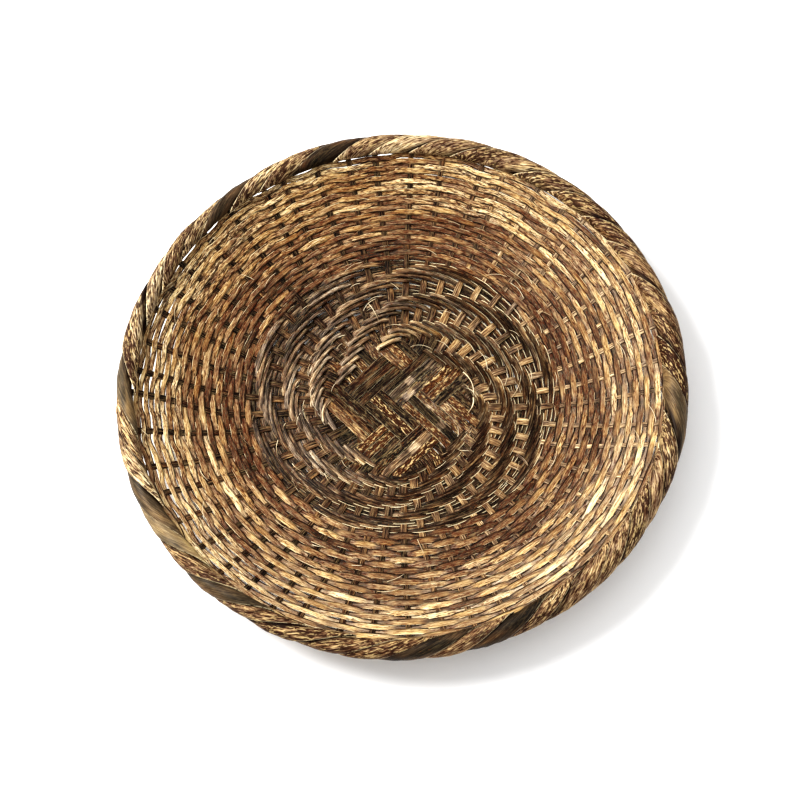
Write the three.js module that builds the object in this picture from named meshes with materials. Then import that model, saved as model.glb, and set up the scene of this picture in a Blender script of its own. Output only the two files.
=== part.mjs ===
// A shallow round tray basket, hand-woven from split bamboo. Millimetres, +Z up.
// The origin is the middle of the underside, on the surface that the basket stands on.
//
// Twelve strips cross twelve others in a square plaited mat at the middle of the base. Their ends
// fan out into 48 stakes, one extra stake makes the count odd, and a spiral of weavers runs round
// them: over three and under three in the base, then over one and under one up the wall. Two hoops
// clamp the ends of the stakes, and a flat strip is lashed round the hoops, once through the wall
// for each turn. The real weaver strands are finer: each band here is a few of them side by side.

import * as THREE from 'three';

// Overall size
const OUTER_RADIUS = 225;

// Profile of the wall: a flat base, an arc, then a straight slope up to the rim
const BASE_RADIUS = 88;
const ARC_RADIUS = 205;
const WALL_SLOPE = THREE.MathUtils.degToRad(27.5);

// Strips that make the mat and the stakes
const STRIPS_PER_WAY = 12;
const MAT_GROUP = 3;
const MAT_PITCH = 7.2;
const MAT_LIFT = 0.78;
const STRIP_THICKNESS = 0.9;
const MAT_LEVEL = MAT_LIFT + STRIP_THICKNESS / 2;
const STRIP_WIDTH_MAT = 5.8;
const STRIP_WIDTH_RIM = 4.6;
const TAPER_END = 130;
const FAN_END = 70;
const FAN_STEPS = 3;
const STAKE_STEP = 16.5;
const STAKE_END_PAST_RIM_CENTRE = 4.2;

// Stakes
const STAKES = 4 * STRIPS_PER_WAY + 1;
const STAKE_ANGLE = 2 * Math.PI / STAKES;
const FIRST_STAKE_ANGLE = THREE.MathUtils.degToRad(6.9);
const EXTRA_STAKE_START = 66;

// Weavers
const WEAVER_THICKNESS = 0.8;
const BASE_ROWS = 5;
const BASE_ROW_START = 75.5;
const BASE_ROW_PITCH = 9.9;
const BASE_BAND_WIDTH = 9.0;
const BASE_FLOAT = 3;
const BASE_LIFT = 1.4;
const BASE_LEVEL = BASE_LIFT + WEAVER_THICKNESS / 2;
const FLOAT_END_MARGIN = 0.35;
const WALL_ROWS = 8;
const WALL_ROW_PITCH = 10.75;
const WALL_BAND_WIDTH = 9.4;
const WALL_LIFT = 1.95;
const ROW_END_GAP = 0.4;

// Rim
const HOOP_SEGMENTS = 48;
const HOOP_GAP = 1.1;
const WRAP_RADIUS = 7.4;
const WRAP_THICKNESS = 1.0;
const WRAP_TURNS = 42;
const TURNS_PER_STRIP = 3;
const WRAP_COVER = 0.955;
const WRAP_PASS_WIDTH = THREE.MathUtils.degToRad(4);
const WRAP_END_ANGLE = 5;

const RIM_CENTRE_RADIUS = OUTER_RADIUS - WRAP_RADIUS - WRAP_THICKNESS / 2;

// Colours
const COLOURS = {
  strip: '#4d3a29',
  baseWeaver: '#6e5237',
  wallWeaver: '#b98f57',
  hoop: '#8a6a42',
  wrap: '#a98450',
  sheath: '#5f5342',
};

function material(colour, roughness) {
  return new THREE.MeshStandardMaterial({ color: colour, roughness, metalness: 0 });
}

function mesh(name, geometry, colour, roughness = 0.6) {
  const body = new THREE.Mesh(geometry, material(colour, roughness));
  body.name = name;
  return body;
}

function twoDigits(number) {
  return String(number).padStart(2, '0');
}

// ---- The surface that the stakes lie in ----

// The point at distance along the profile from the middle: radius, height and slope.
function profile(distance) {
  if (distance <= BASE_RADIUS) {
    return { radius: distance, height: BASE_LEVEL, slope: 0 };
  }
  const slope = Math.min((distance - BASE_RADIUS) / ARC_RADIUS, WALL_SLOPE);
  const straight = Math.max(distance - BASE_RADIUS - ARC_RADIUS * WALL_SLOPE, 0);
  return {
    radius: BASE_RADIUS + ARC_RADIUS * Math.sin(slope) + straight * Math.cos(WALL_SLOPE),
    height: BASE_LEVEL + ARC_RADIUS * (1 - Math.cos(slope)) + straight * Math.sin(WALL_SLOPE),
    slope,
  };
}

// Distance along the profile at which it passes through the middle of the rim.
function rimDistance() {
  const arcEnd = BASE_RADIUS + ARC_RADIUS * WALL_SLOPE;
  const arcEndRadius = BASE_RADIUS + ARC_RADIUS * Math.sin(WALL_SLOPE);
  return arcEnd + (RIM_CENTRE_RADIUS - arcEndRadius) / Math.cos(WALL_SLOPE);
}

const RIM_CENTRE_HEIGHT = profile(rimDistance()).height;

function polar(radius, angle, height) {
  return new THREE.Vector3(radius * Math.cos(angle), radius * Math.sin(angle), height);
}

// A point on the surface, lifted along its normal, with the directions up the wall and off it.
function surfacePoint(distance, angle, lift) {
  const { radius, height, slope } = profile(distance);
  const outward = polar(Math.cos(slope), angle, Math.sin(slope));
  const normal = polar(-Math.sin(slope), angle, Math.cos(slope));
  const point = polar(radius, angle, height).addScaledVector(normal, lift);
  return { point, outward, normal };
}

function stakeAngle(stake) {
  return FIRST_STAKE_ANGLE + stake * STAKE_ANGLE;
}

function stripWidth(distance) {
  const taper = THREE.MathUtils.smoothstep(distance, FAN_END, TAPER_END);
  return THREE.MathUtils.lerp(STRIP_WIDTH_MAT, STRIP_WIDTH_RIM, taper);
}

// ---- Ribbons ----

// A closed flat ribbon through stations, each with a point, a half-width and a half-thickness vector.
function ribbon(stations) {
  const positions = [];
  const travel = new THREE.Vector3().subVectors(stations[1].point, stations[0].point);
  const section = new THREE.Vector3().crossVectors(stations[0].halfWidth, stations[0].halfThickness);
  const side = Math.sign(section.dot(travel));
  for (const { point, halfWidth, halfThickness } of stations) {
    for (const [across, up] of [[-1, -1], [1, -1], [1, 1], [-1, 1]]) {
      const corner = point.clone();
      corner.addScaledVector(halfWidth, across * side);
      corner.addScaledVector(halfThickness, up);
      positions.push(...corner);
    }
  }
  const faces = [0, 3, 2, 0, 2, 1];
  const last = 4 * (stations.length - 1);
  for (let start = 0; start < last; start += 4) {
    for (let corner = 0; corner < 4; corner += 1) {
      const here = start + corner;
      const next = start + (corner + 1) % 4;
      faces.push(here, next, next + 4, here, next + 4, here + 4);
    }
  }
  faces.push(last, last + 1, last + 2, last, last + 2, last + 3);
  const geometry = new THREE.BufferGeometry();
  geometry.setAttribute('position', new THREE.Float32BufferAttribute(positions, 3));
  geometry.setIndex(faces);
  geometry.computeVertexNormals();
  return geometry;
}

// ---- Mat strips and stakes ----

const MAT_HALF = STRIPS_PER_WAY * MAT_PITCH / 2;
const UP = new THREE.Vector3(0, 0, 1);

// Whether the strips of the first way, in one group of three, lie over the second way's group.
function firstWayIsOver(firstGroup, secondGroup) {
  const step = (secondGroup - firstGroup + 4) % 4;
  return step === 1 || step === 2;
}

// Stations over the mat, from one edge to the other, with a step at each change of side.
function matStations(index, isFirstWay, along, sideways) {
  const group = Math.floor(index / MAT_GROUP);
  const offset = (index - (STRIPS_PER_WAY - 1) / 2) * MAT_PITCH;
  const groups = STRIPS_PER_WAY / MAT_GROUP;
  const halfGap = (MAT_PITCH - STRIP_WIDTH_MAT) / 2;
  const lifts = [];
  for (let crossed = 0; crossed < groups; crossed += 1) {
    const over = isFirstWay ? firstWayIsOver(group, crossed) : !firstWayIsOver(crossed, group);
    lifts.push(over ? MAT_LIFT : -MAT_LIFT);
  }
  const stops = [[-MAT_HALF, lifts[0]]];
  for (let crossed = 1; crossed < groups; crossed += 1) {
    if (lifts[crossed] !== lifts[crossed - 1]) {
      const edge = -MAT_HALF + crossed * MAT_GROUP * MAT_PITCH;
      stops.push([edge - halfGap, lifts[crossed - 1]], [edge + halfGap, lifts[crossed]]);
    }
  }
  stops.push([MAT_HALF, lifts[groups - 1]]);
  return stops.map(([distance, lift]) => {
    const point = along.clone().multiplyScalar(distance).addScaledVector(sideways, offset);
    point.z = MAT_LEVEL + lift;
    return {
      point,
      halfWidth: sideways.clone().multiplyScalar(STRIP_WIDTH_MAT / 2),
      halfThickness: UP.clone().multiplyScalar(STRIP_THICKNESS / 2),
    };
  });
}

// Stations from the mat's edge, turning to run straight out along a stake.
function fanStations(start, direction, angle) {
  const end = polar(FAN_END, angle, BASE_LEVEL);
  const reach = start.distanceTo(end);
  const radial = polar(1, angle, 0);
  const path = new THREE.CubicBezierCurve3(
    start,
    start.clone().addScaledVector(direction, reach / 3),
    end.clone().addScaledVector(radial, -reach / 3),
    end,
  );
  const stations = [];
  for (let step = 1; step <= FAN_STEPS; step += 1) {
    const tangent = path.getTangent(step / FAN_STEPS).setZ(0).normalize();
    stations.push({
      point: path.getPoint(step / FAN_STEPS),
      halfWidth: new THREE.Vector3().crossVectors(UP, tangent).multiplyScalar(STRIP_WIDTH_MAT / 2),
      halfThickness: UP.clone().multiplyScalar(STRIP_THICKNESS / 2),
    });
  }
  return stations;
}

// Stations up the wall along a stake, from a distance along the profile to inside the rim.
function stakeStations(from, angle) {
  const end = rimDistance() + STAKE_END_PAST_RIM_CENTRE;
  const steps = Math.round((end - from) / STAKE_STEP);
  const around = polar(1, angle + Math.PI / 2, 0);
  const stations = [];
  for (let step = 0; step <= steps; step += 1) {
    const distance = THREE.MathUtils.lerp(from, end, step / steps);
    const { point, normal } = surfacePoint(distance, angle, 0);
    stations.push({
      point,
      halfWidth: around.clone().multiplyScalar(stripWidth(distance) / 2),
      halfThickness: normal.multiplyScalar(STRIP_THICKNESS / 2),
    });
  }
  return stations;
}

// One end of a strip: the fan from the mat's edge, then the stake.
function armStations(edge, direction, angle) {
  const base = stakeStations(FAN_END, angle).slice(1);
  return [...fanStations(edge.point, direction, angle), ...base];
}

function turnedAround(stations) {
  return stations.reverse().map(({ point, halfWidth, halfThickness }) => (
    { point, halfWidth: halfWidth.clone().negate(), halfThickness }
  ));
}

// A whole strip: one end at the rim, down the wall, across the mat and up to the rim again.
function strip(index, isFirstWay) {
  const heading = isFirstWay ? Math.PI / 4 : -Math.PI / 4;
  const along = polar(1, heading, 0);
  const sideways = polar(1, -heading, 0);
  const mat = matStations(index, isFirstWay, along, sideways);
  const mirrored = STRIPS_PER_WAY - 1 - index;
  const nearStake = isFirstWay ? 2 * STRIPS_PER_WAY + index : STRIPS_PER_WAY + mirrored;
  const farStake = isFirstWay ? mirrored : 3 * STRIPS_PER_WAY + index;
  const back = along.clone().negate();
  const nearArm = armStations(mat[0], back, stakeAngle(nearStake));
  const farArm = armStations(mat[mat.length - 1], along, stakeAngle(farStake));
  const oriented = mat.map((station) => ({
    ...station,
    halfWidth: new THREE.Vector3().crossVectors(UP, along).multiplyScalar(STRIP_WIDTH_MAT / 2),
  }));
  return ribbon([...turnedAround(nearArm), ...oriented, ...farArm]);
}

function addStrips(group) {
  for (let index = 0; index < STRIPS_PER_WAY; index += 1) {
    const number = twoDigits(index + 1);
    group.add(mesh(`strip_a_${number}`, strip(index, true), COLOURS.strip));
    group.add(mesh(`strip_b_${number}`, strip(index, false), COLOURS.strip));
  }
  const extra = ribbon(stakeStations(EXTRA_STAKE_START, stakeAngle(STAKES - 1)));
  group.add(mesh('extra_stake', extra, COLOURS.strip));
}

// ---- Weavers ----

// Distance along the profile of the spiral, count stakes from its start.
function spiralDistance(count) {
  const turns = count / STAKES;
  if (turns <= BASE_ROWS) {
    return BASE_ROW_START + BASE_ROW_PITCH * turns;
  }
  return BASE_ROW_START + BASE_ROW_PITCH * BASE_ROWS + WALL_ROW_PITCH * (turns - BASE_ROWS);
}

function weaverStation(count, lift, width) {
  const { point, outward, normal } = surfacePoint(spiralDistance(count), stakeAngle(count), lift);
  return {
    point,
    halfWidth: outward.multiplyScalar(width / 2),
    halfThickness: normal.multiplyScalar(WEAVER_THICKNESS / 2),
  };
}

// How far a row runs past its last stake, in stakes: to a small gap before the next row's start.
function endOverhang(count) {
  return 0.5 - ROW_END_GAP / 2 / (profile(spiralDistance(count)).radius * STAKE_ANGLE);
}

// One turn of the base weaver: over three stakes, under three.
function baseRow(row) {
  const first = row * STAKES;
  const last = first + STAKES - 1;
  const stations = [];
  for (let count = first; count <= last; count += 1) {
    const over = Math.floor(count / BASE_FLOAT) % 2 === 0;
    const lift = over ? BASE_LIFT : -BASE_LIFT;
    const distance = spiralDistance(count);
    const spacing = profile(distance).radius * STAKE_ANGLE;
    const margin = (stripWidth(distance) / 2 + FLOAT_END_MARGIN) / spacing;
    const place = count % BASE_FLOAT;
    if (count === first) {
      stations.push(weaverStation(count - endOverhang(count), lift, BASE_BAND_WIDTH));
    } else if (place === 0) {
      stations.push(weaverStation(count - margin, lift, BASE_BAND_WIDTH));
    }
    if (place === 1 || count === last) {
      stations.push(weaverStation(count, lift, BASE_BAND_WIDTH));
    }
    if (count === last) {
      stations.push(weaverStation(count + endOverhang(count), lift, BASE_BAND_WIDTH));
    } else if (place === 2) {
      stations.push(weaverStation(count + margin, lift, BASE_BAND_WIDTH));
    }
  }
  return ribbon(stations);
}

// One turn of the wall weaver: over one stake, under the next.
function wallRow(row) {
  const first = row * STAKES;
  const last = first + STAKES - 1;
  const liftAt = (count) => (count % 2 === 0 ? WALL_LIFT : -WALL_LIFT);
  const stations = [weaverStation(first - endOverhang(first), liftAt(first), WALL_BAND_WIDTH)];
  for (let count = first; count <= last; count += 1) {
    stations.push(weaverStation(count, liftAt(count), WALL_BAND_WIDTH));
  }
  stations.push(weaverStation(last + endOverhang(last), liftAt(last), WALL_BAND_WIDTH));
  return ribbon(stations);
}

function addWeavers(group) {
  for (let row = 0; row < BASE_ROWS; row += 1) {
    const name = `base_weaver_${twoDigits(row + 1)}`;
    group.add(mesh(name, baseRow(row), COLOURS.baseWeaver));
  }
  for (let row = 0; row < WALL_ROWS; row += 1) {
    const name = `wall_weaver_${twoDigits(row + 1)}`;
    group.add(mesh(name, wallRow(BASE_ROWS + row), COLOURS.wallWeaver));
  }
}

// ---- Rim ----

// Half-round hoop section, flat side towards the stakes: along the wall, then off it.
const HOOP_SECTION = [
  [-4.2, 0],
  [4.2, 0],
  [3.5, 2.1],
  [1.6, 3.3],
  [-1.6, 3.3],
  [-3.5, 2.1],
];

// A closed ring of that section, on the inner side of the stakes (+1) or the outer side (-1).
function hoop(side) {
  const section = HOOP_SECTION.map(([along, off]) => {
    const lift = side * (HOOP_GAP + off);
    const radius = RIM_CENTRE_RADIUS + along * Math.cos(WALL_SLOPE) - lift * Math.sin(WALL_SLOPE);
    const height = RIM_CENTRE_HEIGHT + along * Math.sin(WALL_SLOPE) + lift * Math.cos(WALL_SLOPE);
    return new THREE.Vector2(radius, -height);
  });
  if (side > 0) {
    section.reverse();
  }
  const geometry = new THREE.LatheGeometry([...section, section[0].clone()], HOOP_SEGMENTS);
  return geometry.rotateX(-Math.PI / 2);
}

// Where a turn of the lashing goes through the wall: the middle of the nearest gap between stakes.
function passAngle(turn) {
  const nominal = (turn + 0.5) * 2 * Math.PI / WRAP_TURNS;
  const gap = Math.round((nominal - FIRST_STAKE_ANGLE) / STAKE_ANGLE - 0.5);
  return stakeAngle(gap + 0.5);
}

// Angles round the rim's section, from one pass through the wall to the next, in degrees.
const TURN_STOPS = [0, 14, 50, 95, 140, 185, 230, 275, 315, 346];

// A station of the lashing: turn counts whole turns, stop is an angle past the pass in degrees.
function wrapStation(turn, stop) {
  const spacing = 2 * Math.PI / WRAP_TURNS;
  const nominal = (turn + 0.5) * spacing;
  const slant = THREE.MathUtils.smoothstep(stop, 100, 350);
  const centre = nominal + slant * spacing;
  const open = THREE.MathUtils.smoothstep(Math.min(stop, 360 - stop), 14, 50);
  const pass = passAngle(stop < 180 ? turn : turn + 1);
  const middle = THREE.MathUtils.lerp(pass, centre, open);
  const width = THREE.MathUtils.lerp(WRAP_PASS_WIDTH, spacing * WRAP_COVER, open);
  const round = Math.PI + WALL_SLOPE + THREE.MathUtils.degToRad(stop);
  const place = (angle, radius) => polar(
    RIM_CENTRE_RADIUS + radius * Math.cos(round),
    angle,
    RIM_CENTRE_HEIGHT + radius * Math.sin(round),
  );
  const left = place(middle - width / 2, WRAP_RADIUS);
  const right = place(middle + width / 2, WRAP_RADIUS);
  return {
    point: left.clone().add(right).multiplyScalar(0.5),
    halfWidth: right.clone().sub(left).multiplyScalar(0.5),
    halfThickness: polar(Math.cos(round), middle, Math.sin(round)).multiplyScalar(WRAP_THICKNESS / 2),
  };
}

// One lashing strip of several turns, cut where it goes through the wall.
function wrap(strip) {
  const first = strip * TURNS_PER_STRIP;
  const stations = [];
  for (let turn = first; turn < first + TURNS_PER_STRIP; turn += 1) {
    const stops = turn === first ? [WRAP_END_ANGLE, ...TURN_STOPS.slice(1)] : TURN_STOPS;
    stations.push(...stops.map((stop) => wrapStation(turn, stop)));
  }
  stations.push(wrapStation(first + TURNS_PER_STRIP - 1, 360 - WRAP_END_ANGLE));
  return ribbon(stations);
}

function addRim(group) {
  group.add(mesh('inner_hoop', hoop(1), COLOURS.hoop));
  group.add(mesh('outer_hoop', hoop(-1), COLOURS.hoop));
  for (let strip = 0; strip < WRAP_TURNS / TURNS_PER_STRIP; strip += 1) {
    const colour = strip % 3 === 2 ? COLOURS.sheath : COLOURS.wrap;
    group.add(mesh(`rim_wrap_${twoDigits(strip + 1)}`, wrap(strip), colour, 0.5));
  }
}

const basket = new THREE.Group();
addStrips(basket);
addWeavers(basket);
addRim(basket);

export default basket;
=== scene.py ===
"""A shallow round tray basket woven from split bamboo, strip by strip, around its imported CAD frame.

Lengths in this script are millimetres until a mesh is made, and angles are radians counted
anticlockwise from +X. A place on the woven surface is given as (distance, angle): the distance
from the middle of the base along the surface, and the angle round the basket.
"""

import math

import bpy
import numpy as np
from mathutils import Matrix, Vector


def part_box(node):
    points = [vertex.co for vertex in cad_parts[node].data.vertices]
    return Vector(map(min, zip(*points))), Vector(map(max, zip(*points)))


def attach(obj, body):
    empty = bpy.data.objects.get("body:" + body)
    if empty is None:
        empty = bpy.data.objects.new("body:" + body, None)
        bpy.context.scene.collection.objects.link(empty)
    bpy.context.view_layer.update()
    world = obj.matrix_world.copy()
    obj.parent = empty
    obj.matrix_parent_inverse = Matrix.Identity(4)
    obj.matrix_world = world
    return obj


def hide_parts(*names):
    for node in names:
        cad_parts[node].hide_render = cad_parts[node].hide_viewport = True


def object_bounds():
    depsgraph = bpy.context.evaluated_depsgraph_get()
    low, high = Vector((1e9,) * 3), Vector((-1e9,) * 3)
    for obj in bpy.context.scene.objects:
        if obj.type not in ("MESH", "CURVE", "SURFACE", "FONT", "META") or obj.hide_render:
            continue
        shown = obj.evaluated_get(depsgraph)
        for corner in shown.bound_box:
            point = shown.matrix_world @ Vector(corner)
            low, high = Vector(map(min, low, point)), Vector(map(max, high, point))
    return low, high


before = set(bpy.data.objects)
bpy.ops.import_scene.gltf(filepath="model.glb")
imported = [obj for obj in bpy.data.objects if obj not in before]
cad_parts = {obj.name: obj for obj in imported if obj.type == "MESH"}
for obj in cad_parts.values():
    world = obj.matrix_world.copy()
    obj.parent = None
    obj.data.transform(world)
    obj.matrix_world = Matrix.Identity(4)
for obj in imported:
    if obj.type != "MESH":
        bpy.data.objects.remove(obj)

CAD_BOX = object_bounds()
MM = 0.001
TAU = 2 * math.pi

# ---- Driving numbers, the same as the CAD model's ----

STRIPS_PER_WAY = 12
MAT_GROUP = 3
MAT_PITCH = 7.2
MAT_HALF = STRIPS_PER_WAY * MAT_PITCH / 2
MAT_LIFT = 0.72
FAN_END = 70.0
BASE_FLOAT = 3
STAKES = 4 * STRIPS_PER_WAY + 1
STAKE_ANGLE = TAU / STAKES
FIRST_STAKE_ANGLE = math.radians(6.9)
STRIP_THICKNESS = 0.9
MAT_LEVEL = MAT_LIFT + STRIP_THICKNESS / 2
WRAP_TURNS = 42
TURNS_PER_CAD_WRAP = 3
CAD_BASE_BANDS = 5
CAD_WALL_BANDS = 8

# ---- The real strands, finer than the CAD model's bands ----

BASE_ROWS = 18
WALL_ROWS = 21
ROWS = BASE_ROWS + WALL_ROWS
BASE_STRAND_THICKNESS = 0.75
WALL_STRAND_THICKNESS = 0.62
LAST_TURN_AT_RIM = 0.6
STEPS_PER_STAKE = 8

# ---- Places read from the frame ----

RIM_LOW, RIM_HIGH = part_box("rim_wrap_01")
RIM_HEIGHT = (RIM_LOW.z + RIM_HIGH.z) / 2 / MM
RIM_TUBE = (RIM_HIGH.z - RIM_LOW.z) / 2 / MM
RIM_RADIUS = (CAD_BOX[1].x - CAD_BOX[0].x) / 2 / MM - RIM_TUBE
BASE_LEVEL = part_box("extra_stake")[0].z / MM + STRIP_THICKNESS / 2


# ---- Repeatable randomness. Each seed is a number of its own for one use, with no other meaning. ----

NOISE_LENGTH = 2048


def read_noise(x, table):
    """The table's values along x, joined by smooth steps and repeated past its end."""
    x = np.asarray(x, float)
    cell = np.floor(x).astype(int)
    part = x - cell
    part = part * part * (3 - 2 * part)
    return table[cell % len(table)] * (1 - part) + table[(cell + 1) % len(table)] * part


def smooth_noise(x, seed):
    """Noise from -1 to 1 that changes smoothly, about once for each unit of x."""
    return read_noise(x, np.random.default_rng(seed).uniform(-1, 1, NOISE_LENGTH))


def ring_noise(angle, bumps, seed):
    """Noise from -1 to 1 that joins up with itself after a full turn."""
    table = np.random.default_rng(seed).uniform(-1, 1, bumps)
    return read_noise(np.asarray(angle, float) / TAU * bumps, table)


def mix(a, b, t):
    """From a at t = 0 to b at t = 1."""
    return a + (b - a) * t


def smooth_step(x, low, high):
    """From 0 to 1 as x goes from low to high, with a soft start and end."""
    t = np.clip((np.asarray(x, float) - low) / (high - low), 0, 1)
    return t * t * (3 - 2 * t)


def either_way(angle):
    """The same angle as a turn of at most half a circle, one way or the other."""
    return (angle + math.pi) % TAU - math.pi


def facing(angle, degrees):
    """1 on the side of the basket at that many degrees, falling to 0 on the opposite side."""
    return 0.5 + 0.5 * np.cos(angle - math.radians(degrees))


def towards(angle, degrees, low, high):
    """A narrower side of the basket: from 0 to 1 as the cosine of the way off goes from low to high."""
    return smooth_step(np.cos(angle - math.radians(degrees)), low, high)


# ---- The surface that the basket is woven in ----

STATION_GAP = 4
FLAT_RADII = (0, 20, 40, 54)
PROFILE_STEP = 0.5


def read_profile():
    """The middle line of the CAD model's extra stake, as a smooth curve of radius and height. The
    stake's corners lie in stations more than STATION_GAP apart, and inside them the base is flat."""
    corners = np.array([v.co[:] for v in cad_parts["extra_stake"].data.vertices]) / MM
    radii = np.hypot(corners[:, 0], corners[:, 1])
    order = np.argsort(radii)
    radii, heights = radii[order], corners[order, 2]
    breaks = np.flatnonzero(np.diff(radii) > STATION_GAP) + 1
    stations = np.array([
        (group_radii.mean(), group_heights.mean())
        for group_radii, group_heights in zip(np.split(radii, breaks), np.split(heights, breaks))
    ])
    flat = np.array([(r, BASE_LEVEL) for r in FLAT_RADII])
    knots = np.vstack([flat, stations])
    steps = np.hypot(*np.diff(knots, axis=0).T)
    along = np.concatenate([[0], np.cumsum(steps)])
    fine = np.arange(0, along[-1], PROFILE_STEP)
    slopes = np.gradient(knots, along, axis=0)
    cell = np.clip(np.searchsorted(along, fine, side="right") - 1, 0, len(along) - 2)
    width = along[cell + 1] - along[cell]
    t = ((fine - along[cell]) / width)[:, None]
    width = width[:, None]
    curve = (
        knots[cell] * (1 + 2 * t) * (1 - t) ** 2
        + slopes[cell] * width * t * (1 - t) ** 2
        + knots[cell + 1] * t * t * (3 - 2 * t)
        + slopes[cell + 1] * width * t * t * (t - 1)
    )
    return fine, curve[:, 0], curve[:, 1]


PROFILE_AT, PROFILE_RADIUS, PROFILE_HEIGHT = read_profile()
PROFILE_SLOPE = np.arctan2(np.gradient(PROFILE_HEIGHT), np.gradient(PROFILE_RADIUS))
RIM_DISTANCE = float(np.interp(RIM_RADIUS, PROFILE_RADIUS, PROFILE_AT))
WALL_SLOPE = float(np.interp(RIM_DISTANCE, PROFILE_AT, PROFILE_SLOPE))

# How uneven the rim is: its oval and its smaller bumps as shares of the radius, and its rise and fall.
OVAL_SHARE = 0.006
BUMP_SHARE = 0.004
RIM_WAVE = 0.9


def warp(radius, angle, height):
    """A place's radius and height in the hand-made basket, from those in a true round one."""
    share = (radius / RIM_RADIUS) ** 2
    oval = OVAL_SHARE * np.sin(2 * angle) + BUMP_SHARE * ring_noise(angle, 7, 11)
    lift = RIM_WAVE * ring_noise(angle, 5, 12)
    return radius * (1 + oval * share), height + lift * share


def surface(distance, angle, lift):
    """Points on the woven surface, lifted along its normal, and the normals."""
    radius = np.interp(distance, PROFILE_AT, PROFILE_RADIUS)
    height = np.interp(distance, PROFILE_AT, PROFILE_HEIGHT)
    slope = np.interp(distance, PROFILE_AT, PROFILE_SLOPE)
    radius, height = warp(radius, angle, height)
    cos_a, sin_a = np.cos(angle), np.sin(angle)
    normal = np.stack([-np.sin(slope) * cos_a, -np.sin(slope) * sin_a, np.cos(slope)], -1)
    middle = np.stack([radius * cos_a, radius * sin_a, height], -1)
    return middle + normal * lift[:, None], normal


# ---- Where the rows run ----

ROW_CENTRE_SHIFT = 11.0
BASE_EDGE_RADIUS = 120.0
RIM_CLEARANCE = RIM_TUBE + 0.7
MAT_CORNER_ROUNDING = 6.0
GAP_AT_MAT_SIDE = 2.6
GAP_AT_MAT_CORNER = 1.0
FIRST_ROW_ROUNDNESS = 0.26
FIRST_ROW_WANDER = 0.7
BASE_EDGE_WANDER = 1.5
WALL_END_WANDER = 0.5


def first_row_distance(angle):
    """Where the base rows begin: a line between the square mat's outline and a circle."""
    turned = angle - math.pi / 4
    power = MAT_CORNER_ROUNDING
    shrink = np.abs(np.cos(turned)) ** power + np.abs(np.sin(turned)) ** power
    square = MAT_HALF / shrink ** (1 / power) + GAP_AT_MAT_SIDE
    circle = MAT_HALF * math.sqrt(2) + GAP_AT_MAT_CORNER
    return mix(square, circle, FIRST_ROW_ROUNDNESS) + FIRST_ROW_WANDER * ring_noise(angle, 11, 22)


def base_edge_distance(angle):
    """Where the base rows end and the wall rows begin: a circle with its middle a little way to +Y."""
    across = ROW_CENTRE_SHIFT * np.cos(angle)
    radius = ROW_CENTRE_SHIFT * np.sin(angle) + np.sqrt(BASE_EDGE_RADIUS ** 2 - across ** 2)
    radius = radius + BASE_EDGE_WANDER * ring_noise(angle, 9, 21)
    return np.interp(radius, PROFILE_RADIUS, PROFILE_AT)


# Places where the wall stops a little short of the rim: the angle of its middle and half its length,
# both in degrees, and how wide a gap is left.
SHORT_PLACES = [(101, 6, 2.2), (94, 4, 2.0), (122, 5, 2.2), (113, 4, 1.6), (71, 4, 1.9), (54, 5, 1.7),
                (151, 5, 2.1), (145, 4, 2.0), (138, 4, 1.8), (173, 5, 1.9), (188, 4, 1.9), (198, 6, 2.1),
                (213, 5, 1.8), (15, 12, 0.6)]


def wall_end_distance(angle):
    """Where the wall rows end, just under the rim but for a few open places."""
    end = RIM_DISTANCE - RIM_CLEARANCE + WALL_END_WANDER * ring_noise(angle, 23, 24)
    for middle, half, gap in SHORT_PLACES:
        away = np.abs(either_way(angle - math.radians(middle)))
        half = math.radians(half)
        end = end - gap * (1 - smooth_step(away, 0.3 * half, half))
    return end


def row_pitch(angle, in_base):
    """The mean distance between neighbouring rows at an angle."""
    edge = base_edge_distance(angle)
    if in_base:
        return (edge - first_row_distance(angle)) / BASE_ROWS
    return (RIM_DISTANCE - RIM_CLEARANCE - edge) / WALL_ROWS


def row_limits(angle):
    """The distances at which the base rows begin, the wall rows begin, and the wall rows end."""
    return first_row_distance(angle), base_edge_distance(angle), wall_end_distance(angle)


def row_distance(row, angle):
    """Distance from the middle of the base to the spiral's row, which need not be a whole number."""
    start, edge, end = row_limits(angle)
    in_base = np.clip(row / BASE_ROWS, 0, 1)
    in_wall = np.clip((row - BASE_ROWS) / (WALL_ROWS - LAST_TURN_AT_RIM), 0, 1)
    return start + (edge - start) * in_base + (end - edge) * in_wall


# ---- Stakes: where each runs ----

def strip_ends(index, first_way):
    """The stakes at the near and far end of a mat strip."""
    mirrored = STRIPS_PER_WAY - 1 - index
    if first_way:
        return 2 * STRIPS_PER_WAY + index, mirrored
    return STRIPS_PER_WAY + mirrored, 3 * STRIPS_PER_WAY + index


def plan_vector(angle):
    """The way that an angle points, seen from above."""
    return np.array([math.cos(angle), math.sin(angle)])


def strip_axes(first_way):
    """The directions along the mat strips of one way, and across them."""
    heading = math.pi / 4 if first_way else -math.pi / 4
    return plan_vector(heading), plan_vector(-heading)


def stake_angle(stake):
    """The angle at which a stake runs out, before it wanders."""
    return FIRST_STAKE_ANGLE + stake * STAKE_ANGLE


def stake_wander(stake, distance):
    """How far a stake strays sideways up the wall, as an angle: a lean and a gentle S."""
    share = smooth_step(distance, FAN_END, RIM_DISTANCE)
    lean, bend = np.random.default_rng(300 + stake).normal(0, 1, 2)
    return STAKE_ANGLE * (0.10 * lean * share + 0.05 * bend * np.sin(share * 5))


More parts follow.
